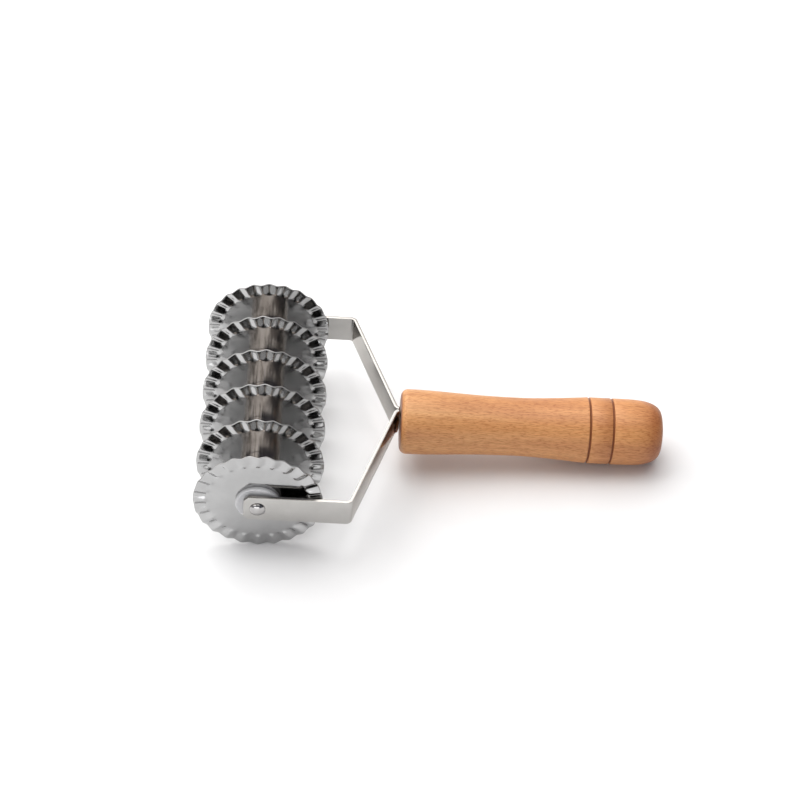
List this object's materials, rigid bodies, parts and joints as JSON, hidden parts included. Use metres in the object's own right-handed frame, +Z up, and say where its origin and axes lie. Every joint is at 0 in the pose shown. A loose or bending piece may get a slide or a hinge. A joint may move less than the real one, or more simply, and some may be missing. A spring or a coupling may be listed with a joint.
{
  "type": "pastry cutter wheel",
  "caption": "Hand roller that cuts dough into crimped strips: fluted steel discs spaced along a free-turning drum, held in a strap-steel fork on a turned beech handle.",
  "frame": {"origin": "on the table, under the middle of the tool's box, as it rests on its wheels and the handle's belly", "axes": "+X along the tool from the wheels to the handle's butt, +Y along the axle to the right arm, +Z up"},
  "size_m": [0.204, 0.117, 0.055],
  "materials": {
    "fluted_wheel": "satin stamped stainless sheet, bright folds",
    "spacer_tube": "polished stainless tube with fine lengthwise draw lines",
    "core_tube": "drawn stainless tube",
    "nylon_bush": "natural white nylon, satin",
    "axle_steel": "turned steel with bright peened heads",
    "arm_strap": "satin rolled stainless strap with brighter cut edges",
    "beech_handle": "turned beech with a thin oil finish, short dark flecks along the grain"
  },
  "bodies": {
    "fork": {"arm_left": "arm_strap", "arm_right": "arm_strap", "axle": "axle_steel", "handle": "beech_handle"},
    "roller": {"wheel_1": "fluted_wheel", "wheel_2": "fluted_wheel", "wheel_3": "fluted_wheel", "wheel_4": "fluted_wheel", "wheel_5": "fluted_wheel", "wheel_6": "fluted_wheel", "spacer_1": "spacer_tube", "spacer_2": "spacer_tube", "spacer_3": "spacer_tube", "spacer_4": "spacer_tube", "spacer_5": "spacer_tube", "core_tube": "core_tube", "end_bush_left": "nylon_bush", "end_bush_right": "nylon_bush"}
  },
  "joints": [
    {"name": "roller_spin", "type": "hinge", "parent": "fork", "child": "roller", "pos_m": [-0.07449, 0, 0.0275], "axis": [0, 1, 0], "continuous": true}
  ]
}
